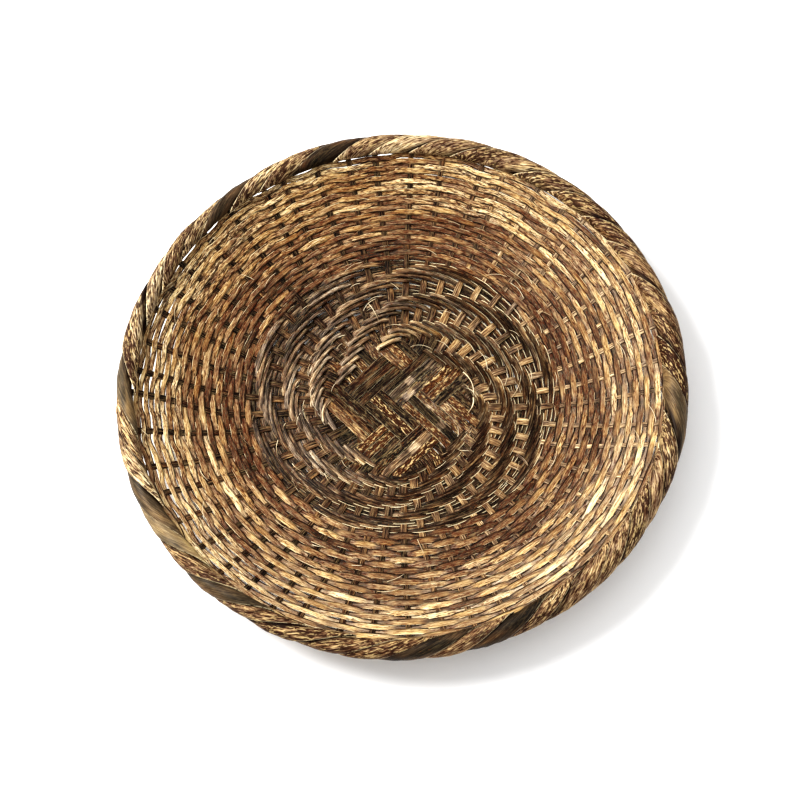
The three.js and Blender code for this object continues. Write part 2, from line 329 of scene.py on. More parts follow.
def fan_path(stake, count=12):
    """Plan points of a stake from the mat's edge to where it runs straight out."""
    side, place = divmod(stake, STRIPS_PER_WAY)
    heading = math.pi / 4 + side * math.pi / 2
    offset = (place - (STRIPS_PER_WAY - 1) / 2) * MAT_PITCH
    direction = plan_vector(heading)
    left = np.array([-direction[1], direction[0]])
    start = direction * MAT_HALF + left * offset
    radial = plan_vector(stake_angle(stake))
    end = radial * FAN_END
    reach = np.linalg.norm(end - start) / 3
    a, b = start + direction * reach, end - radial * reach
    t = np.linspace(0, 1, count)[:, None]
    return start * (1 - t) ** 3 + 3 * a * t * (1 - t) ** 2 + 3 * b * t * t * (1 - t) + end * t ** 3


def fan_swing(plan, stake):
    """The distance of a stake's plan points from the middle, and how far they swing off its angle."""
    swing = either_way(np.arctan2(plan[:, 1], plan[:, 0]) - stake_angle(stake))
    return np.hypot(plan[:, 0], plan[:, 1]), swing


DISTANCES = np.arange(40.0, RIM_DISTANCE + 6, 1.0)
FAN_RUN_BACK = 12.0


def stake_angle_table():
    """The angle of every stake at each of DISTANCES, one row more than there are stakes."""
    table = []
    for stake in range(STAKES):
        angles = np.full(len(DISTANCES), stake_angle(stake))
        if stake < STAKES - 1:
            plan = fan_path(stake)
            direction = plan[1] - plan[0]
            back = plan[0] - direction / np.linalg.norm(direction) * FAN_RUN_BACK
            radii, swing = fan_swing(np.vstack([back, plan]), stake)
            order = np.argsort(radii)
            near = np.interp(DISTANCES, radii[order], swing[order])
            angles = angles + np.where(DISTANCES < FAN_END, near, 0)
        table.append(angles + stake_wander(stake, DISTANCES))
    table.append(table[0] + TAU)
    return np.array(table)


STAKE_TABLE = stake_angle_table()


def angle_at(count, distance):
    """The angle at a place counted in stakes round the spiral, at a distance from the middle."""
    turns = np.floor(count / STAKES)
    stake = count - turns * STAKES
    cell = np.minimum(stake.astype(int), STAKES - 1)
    column = np.clip(distance - DISTANCES[0], 0, len(DISTANCES) - 1.001)
    left = column.astype(int)
    part = column - left

    def look(which):
        return STAKE_TABLE[which, left] * (1 - part) + STAKE_TABLE[which, left + 1] * part

    return mix(look(cell), look(cell + 1), stake - cell)


# ---- Over and under ----

def sharp_wave(phase, sharpness):
    """A sine wave with flatter tops and steeper sides, the more so the sharper it is."""
    return np.tanh(sharpness * np.sin(phase)) / np.tanh(sharpness)


FIRST_ROW_SHARPNESS = 5.0
LAST_BASE_ROW_SHARPNESS = 2.4
WALL_SHARPNESS = 1.25
STAKE_SHARPNESS = 2.0


def over_under(count, row):
    """+1 where the weaver lies over the stakes, -1 under them. In the base it goes over three and
    under three, and on the wall over one and under one."""
    if row >= BASE_ROWS:
        return sharp_wave(math.pi * (count + 0.5), WALL_SHARPNESS)
    sharpness = mix(FIRST_ROW_SHARPNESS, LAST_BASE_ROW_SHARPNESS, row / BASE_ROWS)
    return sharp_wave(math.pi * (count + 0.5) / BASE_FLOAT, sharpness)


def stake_side(stake, distance, angle):
    """How the stake gives way to the rows it meets: +1 where they pass over it."""
    start, edge, end = row_limits(angle)
    in_base = (distance - start) / (edge - start) * BASE_ROWS
    in_wall = BASE_ROWS + (distance - edge) / (end - edge) * (WALL_ROWS - LAST_TURN_AT_RIM)
    row = np.where(distance < edge, in_base, in_wall)
    turn = row - stake / STAKES
    base = sharp_wave(math.pi * (turn + stake + 0.5) / BASE_FLOAT, STAKE_SHARPNESS)
    wall = np.cos(math.pi * (turn + stake))
    side = np.where(row < BASE_ROWS, base, wall)
    return side * smooth_step(row, -0.5, 0.5) * (1 - smooth_step(row, ROWS, ROWS + 1)), row


# ---- Ribbons ----

# Half a strip's section, from its middle to its edge: across as a share of the half-width, and
# up as a share of the thickness, on the rounded skin side and then on the flat inner side.
SKIN_SIDE = [(0.0, 0.52), (0.62, 0.5), (0.93, 0.47), (1.0, 0.36)]
INNER_SIDE = [(0.98, -0.3), (0.8, -0.45), (0.0, -0.47)]


def full_section():
    """The whole section, from the middle of the skin side round by the right edge and back."""
    right = SKIN_SIDE + INNER_SIDE
    left = [(-across, up) for across, up in reversed(right[1:-1])]
    return np.array(right + left)


SECTION = full_section()
CUT_SIDES = [len(SKIN_SIDE) - 1, len(SECTION) - len(SKIN_SIDE)]


def unit(vectors):
    """The vectors, each made one long."""
    return vectors / np.linalg.norm(vectors, axis=-1, keepdims=True)


NOTCH_LENGTH = 2.3
EDGE_WAVE_LENGTH = 9.0


def edge_noise(along, seed):
    """Small notches and longer waves along a hand-split edge."""
    notches = smooth_noise(along / NOTCH_LENGTH, seed)
    return notches + 0.8 * smooth_noise(along / EDGE_WAVE_LENGTH, seed + 1)


def ribbon(centre, normal, width, thickness, seed, hints, tilt=0.0, rough_edges=0.05):
    """A strip along centre, with colour hints for each station. Returns its corner points by station
    and corner, and for each the length along, the place across, and that place as a share from edge
    to edge (-1 to 1)."""
    width, thickness, tilt = (np.atleast_1d(value)[:, None] for value in (width, thickness, tilt))
    travel = unit(np.gradient(centre, axis=0))
    across = unit(np.cross(travel, normal))
    up = np.cross(across, travel)
    across, up = across * np.cos(tilt) + up * np.sin(tilt), up * np.cos(tilt) - across * np.sin(tilt)
    steps = np.linalg.norm(np.diff(centre, axis=0), axis=1)
    along = np.concatenate([[0], np.cumsum(steps)])
    right = 1 + rough_edges * edge_noise(along, seed)
    left = 1 + rough_edges * edge_noise(along, seed + 2)
    share = SECTION[:, 0] * np.where(SECTION[:, 0] > 0, right[:, None], left[:, None])
    place = share * (width / 2)
    rise = SECTION[:, 1] * thickness
    points = centre[:, None] + across[:, None] * place[..., None] + up[:, None] * rise[..., None]
    return {
        "points": points,
        "along": np.broadcast_to(along[:, None], place.shape),
        "across": place,
        "edge": np.broadcast_to(SECTION[:, 0], place.shape),
        "flat_sides": CUT_SIDES,
        "seed": seed,
        "tones": tone_list(place.shape, *hints),
    }


def tone_list(shape, tone, mottle, warmth):
    """Colour hints for each point: from dark to straw, how speckled, and from grey to orange."""
    columns = [np.broadcast_to(np.atleast_1d(value)[:, None], shape) for value in (tone, mottle, warmth)]
    return np.stack(columns, -1)


def add_object(name, data):
    """A new object in the scene."""
    added = bpy.data.objects.new(name, data)
    bpy.context.scene.collection.objects.link(added)
    return added


NOISE_SLICES = 97
SLICE_GAP = 1.37


def add_piece(name, parts, material, replaced):
    """One mesh object from ribbons, each closed at its two ends. The third number of the fibre
    coordinates gives each ribbon its own slice of the material's noise."""
    points, faces, soft = [], [], []
    layers = {"fibre": [], "tones": [], "edge": []}
    first = 0
    for part in parts:
        stations, corners = part["points"].shape[:2]
        points.append(part["points"].reshape(-1, 3) * MM)
        noise_slice = np.full((stations, corners), part["seed"] % NOISE_SLICES * SLICE_GAP)
        layers["fibre"].append(np.stack([part["along"], part["across"], noise_slice], -1).ravel())
        layers["tones"].append(part["tones"].ravel())
        layers["edge"].append(part["edge"].ravel())
        starts = first + np.arange(stations - 1)[:, None] * corners
        here = starts + np.arange(corners)
        beside = starts + (np.arange(corners) + 1) % corners
        quads = np.stack([here, beside, beside + corners, here + corners], -1).reshape(-1, 4)
        faces.extend(quads[:, ::-1].tolist())
        is_soft = np.ones(corners, bool)
        is_soft[part["flat_sides"]] = False
        soft.extend(np.tile(is_soft, stations - 1).tolist() + [False, False])
        last = first + (stations - 1) * corners
        faces.append(list(range(first, first + corners)))
        faces.append(list(range(last + corners - 1, last - 1, -1)))
        first += stations * corners
    mesh = bpy.data.meshes.new(name)
    mesh.from_pydata(np.vstack(points).tolist(), [], faces)
    mesh.polygons.foreach_set("use_smooth", soft)
    for label, values in layers.items():
        kind, field = ("FLOAT", "value") if label == "edge" else ("FLOAT_VECTOR", "vector")
        layer = mesh.attributes.new(label, kind, "POINT")
        layer.data.foreach_set(field, np.concatenate(values).astype(np.float32))
    mesh.materials.append(material)
    mesh.update()
    piece = add_object(name, mesh)
    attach(piece, "root")
    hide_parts(*replaced)


# ---- Materials ----

def linear(value):
    """A part of an sRGB colour, from 0 to 1, as linear light."""
    return ((value + 0.055) / 1.055) ** 2.4 if value > 0.04045 else value / 12.92


def rgb(text):
    """A colour written as a hex string, as linear light."""
    return tuple(linear(int(text[i:i + 2], 16) / 255) for i in (1, 3, 5)) + (1.0,)


# Bamboo colours: two rows from smoked skin to pale straw, warm and greyed, and those of details.
WARM = ["#110402", "#2e1309", "#5a361c", "#917043", "#c8af7e", "#e6d9b6"]
GREYED = ["#0d0906", "#261d16", "#50443a", "#8a7868", "#bcae97", "#e0d7c2"]
DARK_HEART = "#25120a"
PALE_FLAKE = "#d0b785"
PALE_HAIR = "#b0956a"
CREVICE_SHADE = "#170702"
# Painted shade: the dark of the crevices where one strip lies under the next.
CUT_EDGE_AND_HIGHLIGHT = "#e8d9b4"
# Pale cut fibre, and a painted highlight where a strip's raised edge would catch the light.
BUMP_STRENGTH = 0.55
BUMP_DEPTH = 0.22 * MM

# Where a Mix node keeps its colour sockets.
COLOUR_A, COLOUR_B, COLOUR_OUT = 6, 7, 2


class Bamboo:
    """A material's nodes, with the strip's own coordinates and colour hints at hand."""

    def __init__(self, name):
        self.material = bpy.data.materials.new(name)
        self.material.use_nodes = True
        self.tree = self.material.node_tree
        self.shader = self.tree.nodes["Principled BSDF"]
        self.along, self.across, self.slice = self.attribute("fibre")
        self.tone, self.mottle, self.warmth = self.attribute("tones")
        self.side = self.node("Attribute", (), attribute_name="edge").outputs["Fac"]

    def put(self, socket, value):
        """Links a value that another node gives out to the socket, or sets a plain one on it."""
        if isinstance(value, bpy.types.NodeSocket):
            self.tree.links.new(value, socket)
        else:
            socket.default_value = value

    def node(self, kind, inputs, **settings):
        """A new node, with its settings and its first inputs in order."""
        node = self.tree.nodes.new("ShaderNode" + kind)
        for label, setting in settings.items():
            setattr(node, label, setting)
        for socket, value in zip(node.inputs, inputs):
            self.put(socket, value)
        return node

    def attribute(self, name):
        """The three numbers of a mesh attribute."""
        vector = self.node("Attribute", (), attribute_name=name).outputs["Vector"]
        return self.node("SeparateXYZ", (vector,)).outputs

    def math(self, operation, a, b=0.0, clamp=False):
        """The operation on two values, kept from 0 to 1 with clamp."""
        return self.node("Math", (a, b), operation=operation, use_clamp=clamp).outputs[0]

    def plus(self, a, b, clamp=False):
        return self.math("ADD", a, b, clamp)

    def times(self, a, b):
        return self.math("MULTIPLY", a, b)

    def ramp(self, value, colours):
        """The colour at that share of the way along a row of evenly spaced colours."""
        node = self.node("ValToRGB", (value,))
        elements = node.color_ramp.elements
        while len(elements) < len(colours):
            elements.new(0.5)
        for step, (element, colour) in enumerate(zip(elements, colours)):
            element.position = step / (len(colours) - 1)
            element.color = rgb(colour)
        return node.outputs[0]

    def range(self, value, low, high, to_low=0.0, to_high=1.0):
        """A soft step from to_low at low to to_high at high."""
        inputs = (value, low, high, to_low, to_high)
        return self.node("MapRange", inputs, interpolation_type="SMOOTHSTEP").outputs["Result"]

    def blend(self, share, a, b, kind="MIX"):
        """Colour a with colour b over a share of it."""
        node = self.node("Mix", (share,), data_type="RGBA", blend_type=kind)
        self.put(node.inputs[COLOUR_A], a)
        self.put(node.inputs[COLOUR_B], b)
        return node.outputs[COLOUR_OUT]

    def grain(self, length, width, **settings):
        """Noise drawn out along the fibres, in patches of about that length and width."""
        along = self.math("DIVIDE", self.along, length)
        across = self.math("DIVIDE", self.across, width)
        place = self.node("CombineXYZ", (along, across, self.slice)).outputs[0]
        node = self.node("TexNoise", (place,))
        for label, value in {"scale": 1.0, **settings}.items():
            node.inputs[label.title()].default_value = value
        return node.outputs["Fac"]

    def swing(self, value, gain):
        """A value about 0.5 as a change up or down."""
        return self.times(self.math("SUBTRACT", value, 0.5), gain)

    def cover(self, colour, share, over, gain=1.0):
        """The colour with another one over a share of it."""
        if gain != 1.0:
            share = self.times(share, gain)
        return self.blend(share, colour, rgb(over))

    def fibres(self, patch, streak, fine, patches, streaks, fine_lines, tint, hair_share):
        """How light each fibre is, and its colour between smoked skin and straw."""
        level = self.plus(self.tone, self.swing(patch, patches))
        level = self.plus(level, self.swing(streak, 1.7 * streaks))
        level = self.plus(level, self.swing(fine, fine_lines), clamp=True)
        warm, greyed = self.ramp(level, WARM), self.ramp(level, GREYED)
        colour = self.blend(self.plus(self.warmth, self.swing(patch, 1.4), clamp=True), greyed, warm)
        if tint:
            colour = self.blend(1.0, colour, rgb(tint), "MULTIPLY")
        hairs = self.range(self.grain(34.0, 0.3, detail=1.0), 0.58, 0.66)
        return level, self.cover(colour, hairs, PALE_HAIR, hair_share)

    def speckles(self, colour, spot, vein, vein_share, flaking):
        """Tortoise-shell spots with a lighter halo, and pale places where the skin has flaked off."""
        spots = self.grain(*spot, detail=2.5, roughness=0.6, distortion=0.35)
        speckle = self.plus(spots, self.swing(self.mottle, 0.42))
        colour = self.cover(colour, self.range(speckle, 0.48, 0.58), vein, vein_share)
        colour = self.cover(colour, self.range(speckle, 0.55, 0.64), DARK_HEART, 0.85)
        flakes = self.range(self.grain(4.5, 1.3, roughness=0.6), 0.55, 0.63)
        flaked = self.times(flakes, self.times(self.mottle, flaking))
        return self.cover(colour, flaked, PALE_FLAKE)

    def paint_crevice_shade(self, colour, crevice, crevice_from):
        """Painted shade along the edge that lies under the next row, where the crevice is, more in some
        places than in others.
        """
        hidden = self.times(self.side, -1.0)
        shaded = self.range(hidden, crevice_from, mix(crevice_from, 1.0, 0.63))
        shaded = self.times(shaded, crevice)
        uneven = self.range(self.grain(14.0, 40.0, detail=1.0), 0.3, 0.6, 0.35, 1.0)
        return self.cover(colour, self.times(shaded, uneven), CREVICE_SHADE)

    def cut_edges_and_highlights(self, colour, streak, pale_edge, edge_start, edge_breaks, both_edges):
        """The pale torn fibres at the edges of the strip, with a painted highlight along the raised edge,
        broken here and there.
        """
        place = self.math("ABSOLUTE", self.side) if both_edges else self.side
        # Pale cut fibres, and a painted highlight on the raised edge.
        torn_and_lit = self.range(place, edge_start, edge_start + 0.1)
        unbroken = self.range(streak, edge_breaks, edge_breaks + 0.1)
        return self.cover(colour, self.times(torn_and_lit, unbroken), CUT_EDGE_AND_HIGHLIGHT, pale_edge)

    def finish(self, colour, level, streak, fine, roughness, gloss):
        """The shader's inputs: colour, gloss, and fibres that stand up."""
        self.put(self.shader.inputs["Base Color"], colour)
        rough = self.plus(roughness - 0.16, self.times(streak, 0.24))
        rough = self.plus(rough, self.times(level, 0.1))
        self.put(self.shader.inputs["Roughness"], rough)
        self.shader.inputs["Specular IOR Level"].default_value = gloss
        bump = self.node("Bump", ())
        bump.inputs["Strength"].default_value = BUMP_STRENGTH
        bump.inputs["Distance"].default_value = BUMP_DEPTH
        height = self.plus(self.times(streak, 0.7), self.times(fine, 0.3))
        self.put(bump.inputs["Height"], height)
        self.put(self.shader.inputs["Normal"], bump.outputs[0])
        return self.material


def bamboo(name, roughness=0.55, gloss=0.08, patches=0.7, streaks=1.0, fine_lines=0.7, flaking=0.42,
           spot=(3.0, 1.1), pale_edge=0.5, edge_start=0.84, edge_breaks=0.25, both_edges=True,
           crevice=0.0, crevice_from=0.05, vein="#744420", vein_share=0.6, hair_share=0.35, tint=None):
    """Split bamboo. Patches, streaks, fine_lines, flaking, pale_edge and crevice are strengths: pale_edge
    for pale cut fibres with a painted highlight, crevice for painted shade in the crevice under the next
    row. Spot is a spot's length and width. The pale edge starts at edge_start of the half-width,
    and more of it is broken off with a higher edge_breaks."""
    n = Bamboo(name)
    patch = n.grain(22.0, 9.0, detail=1.0)
    streak = n.grain(9.0, 0.7, detail=3.0, roughness=0.65)
    fine = n.grain(16.0, 0.28)
    level, colour = n.fibres(patch, streak, fine, patches, streaks, fine_lines, tint, hair_share)
    colour = n.speckles(colour, spot, vein, vein_share, flaking)
    # Painted shade in the crevice along the strip's lower edge.
    if crevice > 0:
        colour = n.paint_crevice_shade(colour, crevice, crevice_from)
    colour = n.cut_edges_and_highlights(colour, streak, pale_edge, edge_start, edge_breaks, both_edges)
    return n.finish(colour, level, streak, fine, roughness, gloss)


STAKE_MATERIAL = bamboo("smoked bamboo stake", fine_lines=1.0, flaking=0.85, pale_edge=0.6,
                        edge_start=0.91, edge_breaks=0.42)
BASE_MATERIAL = bamboo("brown bamboo weaver", gloss=0.1, streaks=1.1, pale_edge=1.0, edge_start=0.68,
                       both_edges=False, crevice=0.8)
WALL_MATERIAL = bamboo("straw bamboo weaver", roughness=0.6, streaks=0.6, patches=0.4, flaking=0.3,
                       spot=(4.2, 0.62), pale_edge=0.75, edge_breaks=0.48, both_edges=False,
                       crevice=0.95, crevice_from=0.38, vein="#783f20")
LASHING = {"fine_lines": 0.4, "edge_start": 0.93, "edge_breaks": 0.4, "both_edges": False}
WRAP_MATERIAL = bamboo("mottled bamboo lashing", streaks=0.7, patches=0.8, spot=(7.0, 1.0), flaking=0.7,
                       pale_edge=0.8, crevice=1.0, crevice_from=0.3, vein="#573520", vein_share=0.7,
                       **LASHING)
SHEATH_MATERIAL = bamboo("smooth bamboo sheath lashing", roughness=0.5, gloss=0.15, streaks=0.35,
                         patches=0.6, pale_edge=0.7, crevice=0.9, crevice_from=0.4, hair_share=0.12,
                         tint="#f1f3dc", **LASHING)
HOOP_MATERIAL = bamboo("split bamboo hoop", roughness=0.65)


# ---- Mat strips and stakes ----

TURN_OVER = 1.3


def first_way_is_over(first_group, second_group):
    """Which way lies on top where two groups of mat strips cross: a twill of twos."""
    return (second_group - first_group) % 4 in (1, 2)


def mat_side(index, first_way):
    """Places along the mat and the side that the strip takes there: +1 over, -1 under. It changes
    side over a length of TURN_OVER before and after the edge between two groups."""
    group = index // MAT_GROUP
    groups = range(STRIPS_PER_WAY // MAT_GROUP)
    if first_way:
        sides = [1.0 if first_way_is_over(group, crossed) else -1.0 for crossed in groups]
    else:
        sides = [-1.0 if first_way_is_over(crossed, group) else 1.0 for crossed in groups]
    edges = -MAT_HALF + np.arange(1, len(sides)) * MAT_GROUP * MAT_PITCH
    turns = np.column_stack([edges - TURN_OVER, edges + TURN_OVER]).ravel()
    return np.concatenate([[-MAT_HALF], turns, [MAT_HALF]]), np.repeat(sides, 2)


ARM_STEP = 1.4
ARM_PAST_RIM = 3
EXTRA_STAKE_START = 60.0
GIVE_IN_BASE = 0.75
GIVE_ON_WALL = 0.42


def arm_run(stake):
    """The distances and angles of a stake's points, from the mat's edge into the rim."""
    if stake == STAKES - 1:
        distance = np.arange(EXTRA_STAKE_START, RIM_DISTANCE + ARM_PAST_RIM, ARM_STEP)
        return distance, stake_angle(stake) + stake_wander(stake, distance)
    near, swing = fan_swing(fan_path(stake, 18), stake)
    out = np.arange(FAN_END, RIM_DISTANCE + ARM_PAST_RIM, ARM_STEP)[1:]
    distance = np.concatenate([near, out])
    swing = np.concatenate([swing, np.zeros(len(out))])
    return distance, stake_angle(stake) + swing + stake_wander(stake, distance)


def arm(stake, start_lift):
    """Middle line and normals of a stake from the mat's edge to the rim, with its distances from
    the middle. It gives way to each row that it meets."""
    distance, angle = arm_run(stake)
    side, row = stake_side(stake, distance, angle)
    lift = -side * np.where(row < BASE_ROWS, GIVE_IN_BASE, GIVE_ON_WALL)
    lift = lift + (start_lift - (BASE_LEVEL - MAT_LEVEL)) * (1 - smooth_step(row, -3.0, 0.0))
    centre, normal = surface(distance, angle, lift)
    return centre, normal, distance


# The mat strips' own colours, from dark (0) to straw (1), how speckled, and how warm.
FIRST_WAY_TONES = [(0.08, 0.1, 0.9), (0.03, 0.1, 0.9), (0.0, 0.1, 0.9), (0.04, 0.1, 0.6),
                   (0.16, 0.1, 0.2), (0.22, 0.3, 0.25), (0.25, 0.8, 1.0), (0.18, 0.6, 0.8),
                   (0.06, 0.2, 0.3), (0.04, 0.3, 0.5), (0.3, 0.15, 0.35), (0.28, 0.9, 1.0)]
SECOND_WAY_TONES = [(0.38, 0.4, 0.8), (0.06, 0.2, 0.8), (0.0, 0.2, 0.9), (0.02, 0.2, 0.9),
                    (0.36, 1.0, 1.0), (0.03, 0.2, 0.8), (0.18, 0.6, 0.5), (0.0, 0.1, 0.3),
                    (0.3, 0.5, 0.3), (0.24, 0.5, 0.4), (0.3, 0.7, 0.7), (0.06, 0.2, 0.5)]
EXTRA_STAKE_TONES = (0.5, 0.3, 0.5)

# Painted sheen: pale patches on the mat strips where light glints off them: way, strip, middle along the
# strip, and half the length.
SHEEN_PATCHES = [(True, 4, 21, 4), (True, 5, 12, 6), (True, 6, 2, 3), (False, 8, 17, 4), (False, 9, 26, 4),
                (False, 7, 34, 4), (False, 6, 2, 3), (False, 10, 8, 4), (True, 10, -18, 5)]
SHEEN_GAIN = 0.3
SHEEN_LIMIT = 0.5


def painted_sheen(index, first_way, walk):
    """How much paler each place along a mat strip is, as painted sheen."""
    gain = np.zeros(len(walk))
    for way, strip, middle, half in SHEEN_PATCHES:
        if (way, strip) == (first_way, index):
            away = np.abs(walk - middle)
            gain = gain + SHEEN_GAIN * (1 - smooth_step(away, 0.75 * half, 1.1 * half))
    return gain


# A stake's tone past the mat, on the dark side of the basket and on the pale side.
BASE_STAKE_TONES = (0.22, 0.47)
WALL_STAKE_TONES = (0.07, 0.5)


def stake_tones(distance, angle, own):
    """A stake keeps its own colour in the mat. On the wall it is straw on the right, dark elsewhere."""
    right = facing(angle, -5)
    past_mat = smooth_step(distance, 52, 75)
    on_wall = smooth_step(distance, 110, 135)
    own_draw = np.random.default_rng(int(own[0] * 1000) + 31).normal(0, 0.06)
    base_tone = mix(*BASE_STAKE_TONES, smooth_step(right, 0.35, 0.8)) + own_draw
    wall_tone = mix(*WALL_STAKE_TONES, smooth_step(right, 0.35, 0.9)) + own_draw
    tone = mix(mix(own[0], base_tone, past_mat), wall_tone, on_wall)
    mottle = mix(own[1], 0.1, past_mat)
    pale_side = smooth_step(right, 0.35, 0.9) * on_wall
    warmth = mix(own[2] - 0.15, mix(0.6, 0.4, pale_side), past_mat)
    return tone, mottle, warmth


WIDTH_IN_MAT = 6.95
WIDTH_ON_LEFT = 5.2
WIDTH_ON_RIGHT = 3.6


def strip_width(distance, angle, stake):
    """A strip narrows from the mat to the wall, most on the right."""
    taper = smooth_step(distance, 50, 120)
    right = facing(angle, 0) * smooth_step(distance, 110, 130)
    own = np.random.default_rng(500 + stake).normal(0, 0.15)
    return mix(WIDTH_IN_MAT, mix(WIDTH_ON_LEFT, WIDTH_ON_RIGHT, right), taper) + own


MAT_STEP = 0.9


def mat_run(index, first_way, seed):
    """The part of a strip inside the mat: how far along each point is, and the points."""
    along_axis, sideways = strip_axes(first_way)
    walk = np.arange(-MAT_HALF + 1.5, MAT_HALF - 1, MAT_STEP)
    offset = (index - (STRIPS_PER_WAY - 1) / 2) * MAT_PITCH
    sway = 0.35 * smooth_noise(walk / 24, seed)
    plan = walk[:, None] * along_axis + (offset + sway)[:, None] * sideways
    side = np.interp(walk, *mat_side(index, first_way))
    height = MAT_LEVEL + MAT_LIFT * side + 0.15 * smooth_noise(walk / 9, seed + 1)
    return walk, np.column_stack([plan, height])


def make_strip(index, first_way):
    """One strip from the rim across the mat to the rim: a stake, the strip in the mat, a stake."""
    seed = 700 + index * 8 + (0 if first_way else 4)
    near, far = strip_ends(index, first_way)
    sides = mat_side(index, first_way)[1]
    near_arm, far_arm = arm(near, MAT_LIFT * sides[0]), arm(far, MAT_LIFT * sides[-1])
    walk, mat = mat_run(index, first_way, seed)
    up = np.tile([0.0, 0.0, 1.0], (len(walk), 1))
    centre = np.vstack([near_arm[0][::-1], mat, far_arm[0]])
    normal = np.vstack([near_arm[1][::-1], up, far_arm[1]])
    distance = np.concatenate([near_arm[2][::-1], np.hypot(*mat[:, :2].T), far_arm[2]])
    centre = smooth_path(centre, 2)
    angle = np.arctan2(centre[:, 1], centre[:, 0])
    own = (FIRST_WAY_TONES if first_way else SECOND_WAY_TONES)[index]
    tone, mottle, warmth = stake_tones(distance, angle, own)
    # Painted sheen on the mat strip.
    paler = np.pad(painted_sheen(index, first_way, walk), (len(near_arm[0]), len(far_arm[0])))
    tone = np.where(paler > 0, np.minimum(tone + paler, SHEEN_LIMIT), tone)
    width = strip_width(distance, angle, near)
    tilt = 0.05 * smooth_noise(np.arange(len(centre)) / 14, seed + 2)
    part = ribbon(centre, normal, width, STRIP_THICKNESS, seed, (tone, mottle, warmth), tilt)
    part["edge"] = part["edge"] * (1 - 0.2 * smooth_step(distance, 45, 65))[:, None]
    return part


def smooth_path(points, rounds):
    """The path with its corners eased, its two ends kept."""
    for _ in range(rounds):
        inner = (points[:-2] + 2 * points[1:-1] + points[2:]) / 4
        points = np.vstack([points[:1], inner, points[-1:]])
    return points


def make_extra_stake():
    """The stake that makes their number odd, tucked under the mat's corner."""
    stake = STAKES - 1
    centre, normal, distance = arm(stake, BASE_LEVEL - MAT_LEVEL)
    angle = stake_angle(stake)
    width = strip_width(distance, angle, stake)
    hints = stake_tones(distance, angle, EXTRA_STAKE_TONES)
    return ribbon(centre, normal, width, STRIP_THICKNESS, 690, hints)


def build_strips():
    """The mat strips with their stakes, each in place of its CAD node."""
    for first_way, letter in ((True, "a"), (False, "b")):
        for index in range(STRIPS_PER_WAY):
            number = f"{letter}_{index + 1:02d}"
            add_piece(f"woven_strip_{number}", [make_strip(index, first_way)], STAKE_MATERIAL,
                      [f"strip_{number}"])
    add_piece("woven_extra_stake", [make_extra_stake()], STAKE_MATERIAL, ["extra_stake"])


# ---- Weavers ----

TONE_CHANGES_PER_TURN = 14.7

# Two sides of the basket, in degrees: where the wall strands stand out most, and where they are loose.
LOWER_RIGHT = -50
OPEN_SIDE = 207


def segment_draw(count, seed):
    """A draw for each length of a wall weaver between the stakes that hold it down."""
    table = np.random.default_rng(seed).normal(0, 1, STAKES + 1)
    return table[((count + 1) // 2).astype(int) % len(table)]


def base_weaver_tones(row, angle, own, quick, slow, dip_shade):
    """Dark, but lighter and greyer on the left, painted light and sheen from the lamp on that side, and
    lighter at the mat's upper side. Darker where it dips behind a stake, painted shade.
    """
    left, top = facing(angle, 170), facing(angle, 105)
    outwards = np.clip(row / BASE_ROWS, 0, 1)
    # Painted light and sheen: lighter here and greyer below on the left, where the lamp shines from.
    tone = mix(0.25, mix(0.42, 0.3, outwards), smooth_step(left, 0.35, 0.95))
    tone = tone + 0.14 * (1 - outwards) * top + 0.18 * own + 0.08 * quick
    # Darker where it dips behind a stake: painted shade.
    return tone - 0.12 * dip_shade, 0.3 + 0.15 * quick, mix(0.6, 0.12, left) + 0.35 * slow


def wall_weaver_tones(row, angle, own, quick, segment, dip_shade):
    """Brown low on the wall and straw higher up, warmer and more speckled on the upper left."""
    climb = smooth_step(row, BASE_ROWS + 1, BASE_ROWS + 18)
    right = facing(angle, LOWER_RIGHT)
    upper, lower_left = towards(angle, 85, 0.5, 1.0), towards(angle, 225, 0.5, 1.0)
    high_tone = mix(0.77, 0.67, right) - 0.04 * upper + 0.05 * lower_left
    high_tone = high_tone + 0.12 * own + 0.06 * quick + 0.08 * segment
    low_tone = mix(0.4, 0.44, right) + 0.14 * own + 0.06 * quick + 0.09 * segment
    # Painted shade: darker and greyer where the strand dips behind a stake.
    tone = mix(low_tone, high_tone, climb) - mix(0.04, 0.14, right) * dip_shade
    mottle = mix(0.5, mix(0.66, 0.36, right), climb) + 0.15 * quick
    warmth = mix(0.6, mix(1.0, 0.65, right), climb) - mix(0.1, 0.7, right) * dip_shade + 0.12 * segment
    return tone, mottle, warmth


def weaver_tones(row, angle, over, count, seed):
    """Colour hints of a weaver, darker where it dips behind a stake, and on the wall greyer there too:
    painted shade. The palest are held back.
    """
    run = row * TONE_CHANGES_PER_TURN
    own, slow = smooth_noise(run, seed), smooth_noise(run + 40, seed)
    quick = smooth_noise(run * 3.1, seed + 40)
    # How far the weaver dips behind a stake, for the painted shade there.
    dip_shade = 1 - smooth_step(over, -0.9, 0.4)
    base = base_weaver_tones(row, angle, own, quick, slow, dip_shade)
    wall = wall_weaver_tones(row, angle, own, quick, segment_draw(count, seed + 50), dip_shade)
    tone, mottle, warmth = (np.where(row < BASE_ROWS, low, high) for low, high in zip(base, wall))
    return np.minimum(tone, 0.8 + 0.4 * (tone - 0.8)), mottle, warmth


# Where a turn of the weaver may be cut so that both of its ends lie hidden under stakes: the
# remainders of the count by six, which is one float over and one under in the base.
HIDDEN_IN_BASE = (4,)
HIDDEN_AT_BASE_EDGE = (3, 5)
HIDDEN_ON_WALL = (1, 3, 5)


